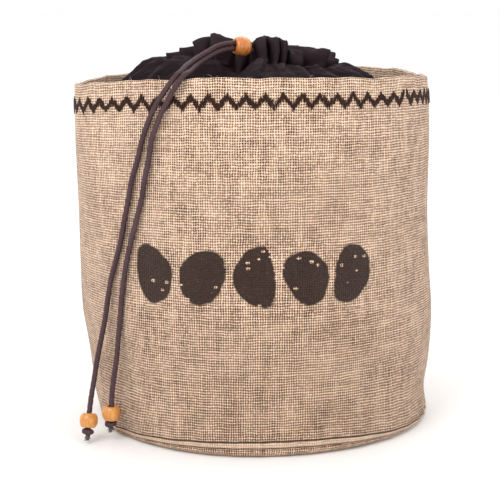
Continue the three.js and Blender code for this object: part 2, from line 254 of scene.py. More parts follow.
class Finish:
    # a material and its nodes; the shader's own constants are given by name
    def __init__(self, name, **constants):
        self.material = bpy.data.materials.new(name)
        self.material.use_nodes = True
        self.tree = self.material.node_tree
        self.shader = self.tree.nodes["Principled BSDF"]
        for socket, value in constants.items():
            self.shader.inputs[socket.replace("_", " ")].default_value = value

    def node(self, kind, settings, inputs, output=0):
        made = self.tree.nodes.new(kind)
        for name, value in settings.items():
            if name == "stops":
                while len(made.color_ramp.elements) < len(value):
                    made.color_ramp.elements.new(0.5)
                for stop, (place, colour) in zip(made.color_ramp.elements, value):
                    stop.position, stop.color = place, colour
            else:
                setattr(made, name, value)
        for name, value in inputs.items():
            if isinstance(value, Wire):
                self.tree.links.new(value.socket, made.inputs[name])
            else:
                made.inputs[name].default_value = value
        return Wire(self, made.outputs[output])

    def maths(self, how, *values):
        return self.node("ShaderNodeMath", {"operation": how}, dict(enumerate(values)))

    def mix(self, share, low, high, blend="MIX"):
        return self.node("ShaderNodeMix", {"data_type": "RGBA", "blend_type": blend},
                         {0: share, 6: low, 7: high}, output=2)

    def noise(self, vector, scale=1.0, detail=2.0, roughness=0.5, output=0):
        inputs = {"Vector": vector, "Scale": scale, "Detail": detail, "Roughness": roughness}
        return self.node("ShaderNodeTexNoise", {}, inputs, output)

    def stretched(self, vector, scale):
        return self.node("ShaderNodeMapping", {}, {"Vector": vector, "Scale": scale})

    def vector(self, x, y, z=0.0):
        return self.node("ShaderNodeCombineXYZ", {}, {0: x, 1: y, 2: z})

    def parts(self, vector):
        return [self.node("ShaderNodeSeparateXYZ", {}, {0: vector}, output=index) for index in range(2)]

    def clothPlace(self):
        return self.node("ShaderNodeTexCoord", {}, {}, output=2)

    def objectPlace(self):
        return self.node("ShaderNodeTexCoord", {}, {}, output=3)

    def wear(self, colour, height=None, depth=0.0, strength=1.0):
        # joins what varies over the surface to the shader
        self.tree.links.new(colour.socket, self.shader.inputs["Base Color"])
        if height is not None:
            bump = self.node("ShaderNodeBump", {},
                             {"Strength": strength, "Distance": depth, "Height": height})
            self.tree.links.new(bump.socket, self.shader.inputs["Normal"])
        return self.material


def shade(red, green, blue):
    # a colour as seen on a screen, 0 to 255, as the shader's linear colour
    seen = [part / 255 for part in (red, green, blue)]
    return (*[part / 12.92 if part < 0.0404 else ((part + 0.055) / 1.055) ** 2.4 for part in seen], 1)


def cloudFinish(name, scale, detail, dark, light, **constants):
    # two tones that drift into each other
    finish = Finish(name, **constants)
    cloud = finish.noise(finish.objectPlace(), scale, detail)
    return finish.wear(finish.mix(cloud, dark, light))


def strandFinish(name, look, **constants):
    # cord or thread: a fine grain over slow changes of tone
    finish = Finish(name, **constants)
    place = finish.objectPlace()
    (fine, grainShare), (coarse, detail, toneShare) = look["grain"], look["tone"]
    grain = finish.noise(place, fine)
    share = (grain * grainShare + finish.noise(place, coarse, detail) * toneShare).clamp()
    return finish.wear(finish.mix(share, look["dark"], look["light"]), grain, look["bump"])


juteLook = {
    "threadsRound": 490,
    "threadHeight": 1.83 * mm,
    "warpWidth": 0.61,      # threads as shares of the room that each has
    "weftWidth": 0.6,
    "footOpen": 0.08,       # how much thinner the threads are at the foot than at the rim
    "widthChange": 0.5, "patchChange": 0.42,
    "stray": {"scale": (0.23, 0.23, 1), "far": 0.9},    # how threads wander, in threads
    "rise": 0.42,           # how far a thread rises where it crosses over another
    "body": 0.6,            # how round it is
    "gap": 2,               # how fast its height falls beside it
    "crossing": 6,          # how sharply the upper thread covers the lower
    "edge": 9, "holeDepth": -0.9, "knub": 0.6,
    "warpNoise": (7.31, 0.06), "weftNoise": (0.045, 5.17, 40), "patchNoise": (0.16, 0.09, 70),
    "fibreNoise": (7, 0.8), "blotchNoise": (16.0, 3.0, 0.55),
    # how much each part lightens the threads; the height share is painted shade, lighter thread tops and
    # darker valleys
    "bright": {"tone": 0.8, "fibre": 1.15, "blotch": 0.42, "height": 0.95, "lift": 0.055},
    "light": shade(250, 219, 192),
    "middle": shade(212, 177, 149),
    "dark": shade(130, 87, 61),
    # painted shade seen through the holes between the threads
    "hole": shade(34, 15, 8),
    "seam": shade(58, 33, 23), "seamScale": 90,
    "footShade": (0.84, 0.823, 0.806, 1),    # painted shade: the tint that darkens the jute towards the foot
    "ink": shade(50, 29, 22),
    "bump": 0.5 * mm, "fibreBump": 0.25,
}

# Plain potato shapes printed across the front, as places on the cloth
printLook = {
    "middle": 127.5 * mm,
    "potatoes": [
        {"at": -71 * mm, "wide": 15.0 * mm, "tall": 21.5 * mm, "lean": 14, "bend": 7},
        {"at": -35 * mm, "wide": 16.5 * mm, "tall": 20.0 * mm, "lean": -22, "bend": -6},
        {"at": 1 * mm, "wide": 14.5 * mm, "tall": 22.0 * mm, "lean": 8, "bend": -9},
        {"at": 37 * mm, "wide": 16.0 * mm, "tall": 20.5 * mm, "lean": 26, "bend": 6},
        {"at": 72 * mm, "wide": 15.0 * mm, "tall": 21.5 * mm, "lean": -12, "bend": 8},
    ],
    "lumps": {"scale": 55.0, "share": 0.55},
    "rough": {"scale": 320.0, "share": 0.22},
    "edge": 7,
    "eyes": {"scale": 105.0, "stretch": 1.6, "scatter": 0.85, "size": 0.16, "rough": 0.1, "edge": 22},
    "cover": {"most": 0.9, "fibre": 0.5, "height": 0.25, "from": 0.3},  # how the ink wears off the threads
}


def threadLie(look, tone, width, across, crossing, side):
    # how high a thread of the weave lies here, and 1 where it is
    wide = (tone - 0.5) * look["widthChange"] + width
    body = (1 - (across / wide) ** 2).maths("MAXIMUM", 0.0).maths("SQRT")
    rise = side * (crossing * (math.pi / 2)).maths("COSINE")
    here = ((wide - across) * look["edge"]).clamp()
    return rise * look["rise"] + body * look["body"] + (here - 1) * look["gap"], here


def wovenThreads(finish, u, v, foot, look):
    # plain weave in thread counts: returns its height, its holes, and the threads' tone and fibre
    stray = finish.node("ShaderNodeVectorMath", {"operation": "MULTIPLY"},
                        {0: finish.vector(u, v), 1: look["stray"]["scale"]})
    strayU, strayV = finish.parts(finish.noise(stray, output=1))
    u, v = u + (strayU - 0.5) * look["stray"]["far"], v + (strayV - 0.5) * look["stray"]["far"]
    floorU, floorV = u.maths("FLOOR"), v.maths("FLOOR")
    acrossU, acrossV = abs(u - floorU - 0.5) * 2, abs(v - floorV - 0.5) * 2
    step, along = look["warpNoise"]
    warpTone = finish.noise(finish.vector(floorU * step, v * along))
    along, step, start = look["weftNoise"]
    weftTone = finish.noise(finish.vector(u * along, floorV * step + start))
    along, step, start = look["patchNoise"]
    patch = finish.noise(finish.vector(u * along, v * step + start))
    patch = (patch - 0.5) * look["patchChange"] - foot * look["footOpen"]
    over = (floorU + floorV).maths("PINGPONG", 1.0) * 2 - 1
    warp, warpHere = threadLie(look, warpTone, patch + look["warpWidth"], acrossU, acrossV, over)
    weft, weftHere = threadLie(look, weftTone, patch + look["weftWidth"], acrossV, acrossU, over * -1)
    warpOnTop = ((warp - weft) * look["crossing"] + 0.5).clamp()
    height = warp.maths("MAXIMUM", weft).maths("MAXIMUM", look["holeDepth"])
    hole = (1 - warpHere) * (1 - weftHere)
    fine, coarse = look["fibreNoise"]
    warpFibre = finish.noise(finish.vector(u * fine, v * coarse))
    weftFibre = finish.noise(finish.vector(u * coarse, v * fine))
    knub = finish.node("ShaderNodeTexWhiteNoise", {"noise_dimensions": "2D"},
                       {"Vector": finish.vector(floorU, floorV)})
    tone = weftTone + (warpTone - weftTone) * warpOnTop + (knub - 0.5) * look["knub"]
    fibre = weftFibre + (warpFibre - weftFibre) * warpOnTop
    return height, hole, tone, fibre


def potatoInk(finish, u, v, look):
    # 1 inside the printed shapes, with a rough edge and small bare eyes
    place, eyes = finish.vector(u, v), look["eyes"]
    rough = finish.noise(place, look["rough"]["scale"]) - 0.5
    lumps = finish.noise(place, look["lumps"]["scale"], 1.0) - 0.5
    uneven = lumps * look["lumps"]["share"] + rough * look["rough"]["share"]
    ink = None
    for potato in look["potatoes"]:
        lean = math.radians(potato["lean"])
        x, y = u - potato["at"], v - look["middle"]
        along = y * math.cos(lean) - x * math.sin(lean)
        across = x * math.cos(lean) + y * math.sin(lean) + along ** 2.0 * potato["bend"]
        far = (across / potato["wide"]) ** 2.0 + (along / potato["tall"]) ** 2.0
        inside = ((1 - far + uneven) * look["edge"]).clamp()
        ink = inside if ink is None else ink.maths("MAXIMUM", inside)
    cells = finish.node("ShaderNodeTexVoronoi", {},
                        {"Vector": finish.vector(u, v * eyes["stretch"]), "Scale": eyes["scale"],
                         "Randomness": eyes["scatter"]})
    return ink * ((cells - eyes["size"] + rough * eyes["rough"]) * eyes["edge"]).clamp()


def juteFinish(name, look, seamAndShadingLines, printed=None):
    # the lines are places up the cloth where a line of another tone runs round it: dark seams, and on the
    # base a painted highlight along the ridge and painted shade in the crease
    finish = Finish(name, Roughness=0.92, Specular_IOR_Level=0.18, Sheen_Weight=0.12, Sheen_Roughness=0.6)
    clothU, clothV = finish.parts(finish.clothPlace())
    foot = 1 - (clothV / bag["height"]).clamp()
    perMetre = look["threadsRound"] / (2 * math.pi * bag["radius"])
    height, hole, tone, fibre = wovenThreads(
        finish, clothU * perMetre, clothV * (1 / look["threadHeight"]), foot, look)
    blotch = finish.noise(finish.vector(clothU, clothV), *look["blotchNoise"])
    share = look["bright"]
    bright = (tone - 0.5) * share["tone"] + (fibre - 0.5) * share["fibre"] + (blotch - 0.5) * share["blotch"]
    # the threads' height paints their tops lighter and the valleys darker: painted shade over their own tone
    bright = (bright + height * share["height"] + share["lift"]).clamp()
    stops = [(0.0, look["dark"]), (0.5, look["middle"]), (1.0, look["light"])]
    colour = finish.node("ShaderNodeValToRGB", {"stops": stops}, {0: bright})
    if printed:
        share = printed["cover"]
        cover = (fibre - 0.5) * share["fibre"] + (height - share["from"]) * share["height"] + share["most"]
        ink = (potatoInk(finish, clothU, clothV, printed) * cover).clamp()
        colour = finish.mix(ink, colour, look["ink"])
    # the holes between the threads are painted dark: painted shade
    colour = finish.mix(hole, colour, look["hole"])
    waver = finish.noise(finish.vector(clothU * look["seamScale"], 0.0)) - 0.5
    for seam in seamAndShadingLines:
        away = abs(clothV - seam["at"] + waver * (seam["waver"] * 2))
        line = (1 - away / seam["wide"]).clamp() * seam["strength"]
        colour = finish.mix(line, colour, look[seam["tone"]])
    # painted shade: the jute grows darker towards the foot
    colour = finish.mix(foot, colour, look["footShade"], "MULTIPLY")
    return finish.wear(colour, height + (fibre - 0.5) * look["fibreBump"], look["bump"])


def dress(piece, material, slotName, *nodes):
    piece.data.materials.clear()
    piece.data.materials.append(material)
    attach(piece, "root")
    if nodes:
        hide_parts(*nodes)
    return piece


# Camera and light

studio = {
    "eye": (-2 * mm, -1050 * mm, 310 * mm),
    "down": 10.1,
    "lens": 101.1,
    "sensor": 36,
    "aim": (0, 0, 0.13),    # where the lamps point
    "lamps": {
        "key": {"at": (-0.9, -1.3, 1.5), "size": 1.1, "power": 14},
        "fill": {"at": (1.3, -1.1, 0.7), "size": 1.4, "power": 3},
        "back": {"at": (0.2, 1.2, 1.3), "size": 1.2, "power": 6},
    },
    "sky": 1.02,
    "floor": 60,            # half width of the floor in metres, so that it fades out far behind
    "floorTones": [(0.972, 0.972, 0.972, 1), (0.984, 0.984, 0.982, 1)],
}


def setStudio():
    scene = bpy.context.scene
    scene.view_settings.view_transform = "Standard"
    camera = bpy.data.objects.new("camera", bpy.data.cameras.new("camera"))
    bpy.context.collection.objects.link(camera)
    camera.location = studio["eye"]
    camera.rotation_euler = (math.radians(90 - studio["down"]), 0, 0)
    camera.data.sensor_width = studio["sensor"]
    camera.data.lens = studio["lens"]
    scene.camera = camera
    for name, lamp in studio["lamps"].items():
        light = bpy.data.lights.new(name, "AREA")
        light.energy, light.size = lamp["power"], lamp["size"]
        holder = bpy.data.objects.new(name, light)
        holder.location = lamp["at"]
        aim = Vector(studio["aim"]) - Vector(lamp["at"])
        holder.rotation_euler = aim.to_track_quat("-Z", "Y").to_euler()
        bpy.context.collection.objects.link(holder)
    world = bpy.data.worlds.new("sky")
    world.use_nodes = True
    world.node_tree.nodes["Background"].inputs[0].default_value = (1, 1, 1, 1)
    world.node_tree.nodes["Background"].inputs[1].default_value = studio["sky"]
    scene.world = world
    reach = studio["floor"]
    corners = [(-reach, -reach, 0), (reach, -reach, 0), (reach, reach, 0), (-reach, reach, 0)]
    floor = addMesh("floor", corners, [(0, 1, 2, 3)])
    floor.data.materials.append(
        cloudFinish("paleFloor", 40.0, 2.0, *studio["floorTones"], Roughness=0.9, Specular_IOR_Level=0.1))


setStudio()
print("studio ready")


# Cords, beads and knots

cordLook = {
    "diameter": 3.9 * mm, "step": 0.8 * mm, "sides": 16,
    "braid": 0.13, "plaits": 5, "lay": 5.2 * mm,
    "grain": (1400.0, 0.55),    # scale and share of the fine grain
    "tone": (60.0, 2.0, 0.5),   # scale, detail and share of the slow changes
    "dark": shade(26, 15, 17),
    "light": shade(102, 77, 81),
    "bump": 0.22 * mm,
}
leftRoute = [
    (0.1, -46.7, 278.7), (-4.1, -49.7, 279.3), (-8.8, -52.4, 279.8), (-13.5, -55.1, 280.1),
    (-18.8, -59.0, 279.8), (-24.8, -64.2, 278.2), (-30.2, -70.4, 275.3), (-36.5, -79.8, 271.8),
    (-42.1, -92.2, 268.2), (-45.3, -105.0, 266.0), (-48.5, -116.4, 262.4), (-49.8, -119.3, 261.7),
    (-51.5, -121.6, 259.8), (-53.7, -122.6, 257.1), (-56.1, -122.3, 253.9), (-59.1, -121.2, 249.5),
    (-62.3, -119.7, 244.9), (-66.0, -117.6, 238.1), (-69.2, -115.1, 231.3), (-74.2, -111.6, 217.6),
    (-77.8, -108.9, 203.9), (-82.1, -105.6, 189.9), (-84.9, -103.3, 175.9), (-87.9, -100.6, 161.7),
    (-90.8, -98.0, 147.4), (-94.8, -94.0, 132.6), (-99.0, -89.8, 117.6), (-101.8, -86.6, 102.7),
    (-104.3, -84.2, 87.8), (-107.7, -81.0, 72.4), (-110.8, -79.8, 57.6), (-113.2, -81.0, 43.3),
    (-115.2, -83.6, 30.8), (-116.3, -86.6, 21.0), (-117.0, -89.8, 10.4),
]
rightRoute = [
    (-0.1, -47.1, 274.9), (-4.3, -50.1, 275.5), (-9.0, -52.8, 276.0), (-13.7, -55.5, 276.3),
    (-18.9, -59.7, 275.9), (-24.8, -65.6, 274.2), (-30.6, -73.0, 271.2), (-36.3, -82.7, 267.7),
    (-40.1, -94.4, 264.8), (-42.2, -107.0, 262.9), (-43.8, -118.3, 262.3), (-44.9, -121.3, 261.7),
    (-46.7, -123.6, 259.8), (-48.6, -124.7, 257.1), (-50.8, -124.7, 253.9), (-53.2, -124.0, 249.9),
    (-55.9, -122.9, 245.1), (-59.5, -121.0, 238.4), (-62.6, -118.8, 231.6), (-67.6, -115.8, 218.0),
    (-70.0, -114.1, 204.4), (-72.9, -112.1, 190.7), (-75.4, -110.4, 176.9), (-79.1, -107.7, 162.8),
    (-83.1, -104.5, 148.5), (-86.5, -101.6, 134.1), (-89.3, -98.8, 119.5), (-91.3, -96.2, 104.8),
    (-92.8, -93.8, 89.9), (-94.5, -91.2, 74.9), (-96.2, -89.0, 59.9), (-98.7, -87.2, 44.7),
    (-100.2, -86.9, 31.4), (-101.0, -86.9, 15.4),
]


def blend(start, end, early, late, time):
    return start + (end - start) * (time - early) / (late - early)


def smoothLine(route, step, samples=24):
    # an even line through the points of a route
    points = np.asarray(route, float)
    points = np.vstack([2 * points[0] - points[1], points, 2 * points[-1] - points[-2]])
    made = []
    for four in zip(points, points[1:], points[2:], points[3:]):
        gaps = [math.sqrt(np.linalg.norm(end - start)) for start, end in zip(four, four[1:])]
        times = np.cumsum([0.0] + gaps)
        for time in np.linspace(times[1], times[2], samples, endpoint=False):
            three = [blend(four[k], four[k + 1], times[k], times[k + 1], time) for k in range(3)]
            two = [blend(three[k], three[k + 1], times[k], times[k + 2], time) for k in range(2)]
            made.append(blend(two[0], two[1], times[1], times[2], time))
    made = np.array(made + [points[-2]])
    gone = np.concatenate([[0], np.cumsum(np.linalg.norm(np.diff(made, axis=0), axis=1))])
    even = np.linspace(0, gone[-1], max(2, round(gone[-1] / step) + 1))
    return np.stack([np.interp(even, gone, made[:, axis]) for axis in range(3)], axis=1), even


def lineFrames(line):
    # two directions across the line at each of its points, carried along without a twist
    along = np.gradient(line, axis=0)
    along /= np.linalg.norm(along, axis=1, keepdims=True)
    side = np.cross(along[0], (0.3, 0.2, 1.0))  # any way that isn't along the line
    sides = []
    for direction in along:
        side = side - direction * side.dot(direction)
        side = side / np.linalg.norm(side)
        sides.append(side)
    sides = np.array(sides)
    return sides, np.cross(along, sides)


def tubeMesh(line, radii, sides):
    # a closed tube; radii is one number for each point and side
    left, up = lineFrames(line)
    turn = ringTurns(sides)[:, None]
    radii = np.broadcast_to(radii, (len(line), sides))[..., None]
    points = line[:, None] + radii * (left[:, None] * np.cos(turn) + up[:, None] * np.sin(turn))
    faces, _, _ = gridFaces(len(line), sides, False, True)
    faces = faces[:, ::-1].tolist()
    last = (len(line) - 1) * sides
    faces.append(list(range(sides))[::-1])
    faces.append([last + side for side in range(sides)])
    return points.reshape(-1, 3), faces


def joinShapes(shapes):
    points, faces, count = [], [], 0
    for shapePoints, shapeFaces in shapes:
        points.append(np.asarray(shapePoints, float))
        faces += [[index + count for index in face] for face in shapeFaces]
        count += len(shapePoints)
    return np.vstack(points), faces


def braidedTube(route):
    line, gone = smoothLine(np.array(route) * mm, cordLook["step"])
    turn = cordLook["plaits"] * ringTurns(cordLook["sides"])
    along = gone[:, None] / cordLook["lay"] * 2 * math.pi
    plait = np.maximum(np.sin(turn + along), np.sin(turn - along))
    radii = cordLook["diameter"] / 2 * (1 - cordLook["braid"] + cordLook["braid"] * plait)
    return line, tubeMesh(line, radii, cordLook["sides"])


beadLook = {
    "toggle": {"diameter": 14 * mm, "length": 11.2 * mm, "along": 10 * mm, "bore": 4.1 * mm,
               "light": shade(234, 152, 78), "dark": shade(188, 96, 38)},
    "end": {"diameter": 13.0 * mm, "length": 10.2 * mm, "bore": 4.1 * mm,
            "light": shade(226, 158, 80), "dark": shade(188, 112, 44)},
    "rows": 15, "sides": 40, "roundness": 2.6, "dish": 0.04, "lip": 0.35 * mm,
    "shoulder": 0.3,        # how much thinner a bead is at its ends
    "grain": (1.0, 1.0, 0.22),
    "rings": {"scale": 620.0, "from": 0.32, "contrast": 2.4},
    "poreScale": 2600.0,
    "bump": 0.05 * mm,
}
knotLook = {
    "length": 8 * mm, "loop": 2.8 * mm, "strand": 1.55 * mm, "turns": 1.75,
    "coil": {"low": 0.36, "climb": 0.3, "sway": 0.16, "start": 0.6},
    "core": {"long": 0.62, "sway": 0.5 * mm, "thick": 1.15},
    "threads": 64, "thick": (0.26 * mm, 0.12 * mm), "bend": 0.18 * mm,
    "spread": (0.3, 2.6), "root": (0.1, 0.9), "long": (0.86, 1.12),
    "greys": [shade(52, 50, 54), shade(138, 140, 146)],
}


def beadFinish(name, tones):
    finish = Finish(name, Roughness=0.34, Specular_IOR_Level=0.5, Coat_Weight=0.35, Coat_Roughness=0.2)
    stretched, look = finish.stretched(finish.objectPlace(), beadLook["grain"]), beadLook["rings"]
    rings = finish.noise(stretched, look["scale"], 3.0, 0.6)
    pores = finish.noise(stretched, beadLook["poreScale"], 2.0, 0.7)
    share = ((rings - look["from"]) * look["contrast"]).clamp()
    return finish.wear(finish.mix(share, tones["light"], tones["dark"]), pores, beadLook["bump"], 0.5)


def turnedBead(size, place, axis, slot=0.0):
    # a drilled bead; the slot widens its bore towards the bead's own Y
    half, bore, lip = size["length"] / 2, size["bore"] / 2, beadLook["lip"]
    shape = []
    for along in np.linspace(-1, 1, beadLook["rows"]):
        across = size["diameter"] / 2 * (1 - beadLook["shoulder"] * abs(along) ** beadLook["roundness"])
        shape.append((across, along * half * (1 - beadLook["dish"] * (1 - abs(along)))))
    outside = len(shape)
    shape += [(bore + lip, half - lip * 0.2), (bore, half - lip * 1.6),
              (bore, -half + lip * 1.6), (bore + lip, -half + lip * 0.2)]
    shape, sides = np.array(shape), beadLook["sides"]
    turn = ringTurns(sides)
    wider = np.where(np.arange(len(shape)) < outside, 0.0, slot / 2)
    points = np.stack([np.cos(turn)[:, None] * shape[:, 0], np.sin(turn)[:, None] * (shape[:, 0] + wider),
                       np.tile(shape[:, 1], (sides, 1))], axis=2).reshape(-1, 3)
    turnTo = np.array(Vector(axis).to_track_quat("Z", "Y").to_matrix())
    faces, _, _ = gridFaces(sides, len(shape), True, True)
    return points @ turnTo.T + place, faces


def overhandKnot(top, down):
    # the cord's last turns, pulled tight, and apart from them the frayed tail below
    turnTo = np.array(Vector(down).to_track_quat("Z", "Y").to_matrix())
    length, coil, core = knotLook["length"], knotLook["coil"], knotLook["core"]
    turn = np.linspace(0, 2 * math.pi * knotLook["turns"], 60)
    rise = coil["low"] + coil["climb"] * turn / turn[-1] + coil["sway"] * np.sin(turn + coil["start"])
    coilLine = np.stack([knotLook["loop"] * np.cos(turn), knotLook["loop"] * np.sin(turn),
                         length * 0.5 * rise], axis=1)
    coreLine = np.stack([core["sway"] * np.sin(np.linspace(0, 3, 9)), np.zeros(9),
                         np.linspace(0.1 * mm, length * core["long"], 9)], axis=1)
    shapes = [tubeMesh(coilLine, knotLook["strand"], 10),
              tubeMesh(coreLine, knotLook["strand"] * core["thick"], 10)]
    tail = []
    for _ in range(knotLook["threads"]):
        lean = chance.uniform(0, 2 * math.pi)
        out = chance.uniform(*knotLook["spread"])
        root = np.array([math.cos(lean), math.sin(lean), 0]) * chance.uniform(*knotLook["root"]) * mm
        end = root * (1 + out) + np.array([0, 0, length * chance.uniform(*knotLook["long"])])
        start = root + np.array([0, 0, length * 0.5])
        middle = (start + end) / 2 + chance.normal(0, knotLook["bend"], 3)
        line, _ = smoothLine([start, middle, end], 0.5 * mm)
        tail.append(tubeMesh(line, np.linspace(*knotLook["thick"], len(line))[:, None], 5))
    made = [joinShapes(part) for part in (shapes, tail)]
    return [(points @ turnTo.T + top, faces) for points, faces in made]


def makeCords():
    toggleSize, endSize = beadLook["toggle"], beadLook["end"]
    cordSkin = strandFinish("brownCord", cordLook, Roughness=0.6, Specular_IOR_Level=0.18)
    beadSkin, toggleSkin = beadFinish("paleBead", endSize), beadFinish("amberBead", toggleSize)
    tailSkin = cloudFinish("frayedTail", 400.0, 1.0, *knotLook["greys"], Roughness=0.8)
    toggleEnds = []
    for name, route in (("left", leftRoute), ("right", rightRoute)):
        line, shape = braidedTube(route)
        down = line[-1] - line[-4]
        down /= np.linalg.norm(down)
        cord = dress(addMesh(f"cordTube_{name}", *shape), cordSkin, "cord", f"cord_{name}")
        shape = turnedBead(endSize, line[-1] - down * (endSize["length"] / 2 + bag["gap"]), down)
        bead = dress(addMesh(f"endBead_{name}", *shape), beadSkin, "bead", f"end_bead_{name}")
        knotShape, tailShape = overhandKnot(line[-1] + down * bag["gap"], down)
        knot = dress(addMesh(f"endKnot_{name}", *knotShape), cordSkin, "cord", f"end_knot_{name}")
        tail = dress(addMesh(f"frayedTail_{name}", *tailShape), tailSkin, "cord")
        at = round(toggleSize["along"] / cordLook["step"])
        toggleEnds.append((line[at], line[at + 3] - line[at - 3]))
        if name == "right":
            (leftPlace, leftWay), (rightPlace, rightWay) = toggleEnds
            shape = turnedBead(toggleSize, (leftPlace + rightPlace) / 2, leftWay + rightWay,
                               abs(leftPlace - rightPlace).max())
            dress(addMesh("toggleBead", *shape), toggleSkin, "bead", "toggle_bead")
        length = float(np.linalg.norm(np.diff(line, axis=0), axis=1).sum())
        tuple(line[0])
        [tuple(p) for p in line]
        print("cord", name, round(length, 4))


makeCords()


# Jute wall and base

wallLook = {"segments": 360, "rows": 92, "rimRows": 11, "hemRows": 10, "innerRows": 34,
            "tuck": 1.1 * mm, "tuckShare": 0.3, "tuckSteps": (0.5 * mm, 1.4 * mm)}


def juteWall():
    radius, height, roll, tuck = bag["radius"], bag["height"], bag["hem"] / 2, wallLook["tuck"]
    first, second = wallLook["tuckSteps"]
    outside = [(radius - tuck, bag["seam"]), (radius - tuck * wallLook["tuckShare"], bag["seam"] + first)]
    outside += [(radius, z) for z in np.linspace(bag["seam"] + second, height - roll, wallLook["rows"])]
    rim = [(radius - roll + roll * math.cos(turn), height - roll + roll * math.sin(turn))
           for turn in np.linspace(0, math.pi, wallLook["rimRows"])[1:]]
    foot = height - bag["hemDepth"]
    hem = [(radius - bag["hem"], z) for z in np.linspace(height - roll, foot, wallLook["hemRows"])[1:]]
    inside = [(radius - bag["wall"], z) for z in np.linspace(foot, bag["seam"], wallLook["innerRows"])]
    return turnedSkin("juteWall", clothLength(outside + rim + hem + inside), wallLook["segments"])


baseLook = {"roll": 7 * mm, "thick": 2 * mm, "crease": 1.6 * mm, "proud": 0.5 * mm}


def juteBase():
    # a flat disc whose edge rolls up to a crease and a proud ridge under the wall's seam
    roll, thick, crease, proud = (baseLook[name] for name in ("roll", "thick", "crease", "proud"))
    radius, flat, top = bag["radius"], bag["radius"] - roll, bag["seam"] - bag["gap"]
    outline = [(flat * share, 0) for share in np.linspace(0.001, 1, 26)]
    outline += [(flat + roll * math.sin(turn), roll - roll * math.cos(turn))
                for turn in np.radians(np.arange(8, 73, 8))]
    outline += [(radius - crease * 0.7, roll * 0.86), (radius - crease, roll)]
    creasePoint = len(outline) - 1
    outline += [(radius - crease * 0.5, roll + 0.5 * mm), (radius + proud * 0.6, roll + 1.4 * mm),
                (radius + proud, roll + 2.4 * mm), (radius + proud * 0.4, top - 1.2 * mm),
                (radius - proud, top - 0.3 * mm), (radius - proud * 2, top)]
    topPoint = len(outline) - 1
    inner = roll - thick
    outline += [(radius - proud * 2 - thick, top)]
    outline += [(flat + inner * math.sin(turn), roll - inner * math.cos(turn))
                for turn in np.radians(np.arange(80, -1, -16))]
    outline += [(flat * share, thick) for share in np.linspace(0.9, 0.001, 12)]
    outline = clothLength(outline)
    atCrease, atTop = outline[creasePoint, 2], outline[topPoint, 2]
    ridge = (atCrease + atTop) / 2
    # a painted highlight along the ridge, painted shade in the crease, and the dark seam at the top
    seamAndShadingLines = [
        {"at": ridge, "wide": 3.4 * mm, "waver": 0.3 * mm, "strength": 0.6, "tone": "light"},
        {"at": atCrease, "wide": 1.2 * mm, "waver": 0.6 * mm, "strength": 0.9, "tone": "seam"},
        {"at": atTop, "wide": 1.2 * mm, "waver": 0.1 * mm, "strength": 1.0, "tone": "seam"},
    ]
    return turnedSkin("juteBase", outline, wallLook["segments"]), seamAndShadingLines


wallSeams = [{"at": bag["seam"] - 0.2 * mm, "wide": 1.3 * mm, "waver": 0.2 * mm,
              "strength": 1.0, "tone": "seam"}]
juteSkin = juteFinish("wovenJute", juteLook, wallSeams, printLook)
wall = dress(juteWall(), juteSkin, "jute", "jute_wall")
base, baseSeamAndShadingLines = juteBase()
plainSkin = juteFinish("wovenJutePlain", juteLook, baseSeamAndShadingLines)
dress(base, plainSkin, "jute", "base_panel")
print("jute ready")


# Loose fibres that stand out of the jute

fibreLook = {
    "rim": 90,              # how many stand on the rim, and on the wall
    "wall": 160,
    "heights": (20, 246),   # millimetres below the rim
    "thick": 0.06 * mm, "long": (1.2 * mm, 3.6 * mm),
    "lift": (0.25, 0.9), "stray": 0.5, "bend": (1.2 * mm, 0.8 * mm),
    "sunk": (0.3 * mm, 0.4 * mm),   # how deep the two ends lie
}


def looseFibres():
    shapes, up = [], np.array([0, 0, 1.0])
    sideBend, upBend = fibreLook["bend"]
    firstSunk, lastSunk = fibreLook["sunk"]
    for index in range(fibreLook["rim"] + fibreLook["wall"]):
        onRim = index < fibreLook["rim"]
        turn = chance.uniform(-math.pi, math.pi)
        height = bag["height"] - (0.1 * mm if onRim else chance.uniform(*fibreLook["heights"]) * mm)
        radius = bag["radius"] - (bag["hem"] / 2 if onRim else 0)
        outward = np.array([math.sin(turn), -math.cos(turn), 0])
        sideways = np.array([math.cos(turn), math.sin(turn), 0])
        root = slump(outward * radius + up * height)[0]
        lift = up if onRim else outward
        way = lift * chance.uniform(*fibreLook["lift"]) + sideways * chance.normal(0, 1)
        way = way + up * chance.normal(0, fibreLook["stray"])
        way *= chance.uniform(*fibreLook["long"]) / np.linalg.norm(way)
        bend = sideways * chance.normal(0, sideBend) + up * chance.normal(0, upBend)
        places = [root - lift * firstSunk, root + way * 0.45 + bend * 0.6, root + way - lift * lastSunk]
        line, _ = smoothLine(places, 0.9 * mm)
        shapes.append(tubeMesh(line, np.linspace(1, 0.5, len(line))[:, None] * fibreLook["thick"], 4))
    return joinShapes(shapes)


strandSkin = cloudFinish("looseJute", 70.0, 1.0, juteLook["middle"], juteLook["light"],
                         Roughness=0.8, Specular_IOR_Level=0.2)
dress(addMesh("looseFibres", *looseFibres()), strandSkin, "jute")
print("fibres ready")


# Zigzag embroidery, stitch by stitch

zigzag = {
    "teeth": 66,
    "drop": 15.5 * mm,      # from the rim down to the middle of the line
    "tilt": 0.9 * mm,
    "swing": 3.4 * mm, "wobble": 0.5 * mm,
    "turn": 2.4,            # radians of the wobble from corner to corner
    "break": 53,            # where the line begins and ends, in degrees, and the gap between the two
    "gapAngle": 1.5,
    "stitches": 920, "long": 6.0 * mm, "longChange": (0.72, 1.18), "wide": 0.47 * mm, "jitter": 0.3 * mm,
    "rings": [(-1.0, 0.12), (-0.86, 0.72), (-0.4, 1.0), (0.4, 1.0), (0.86, 0.72), (1.0, 0.12)],
    "sides": 6, "flat": 0.8, "lift": (0.434, 0.266),
    "grain": (900.0, 0.5),
    "tone": (160.0, 1.0, 0.6),
    "dark": shade(25, 9, 4),
    "light": shade(62, 31, 17),
    "bump": 0.1 * mm,
}


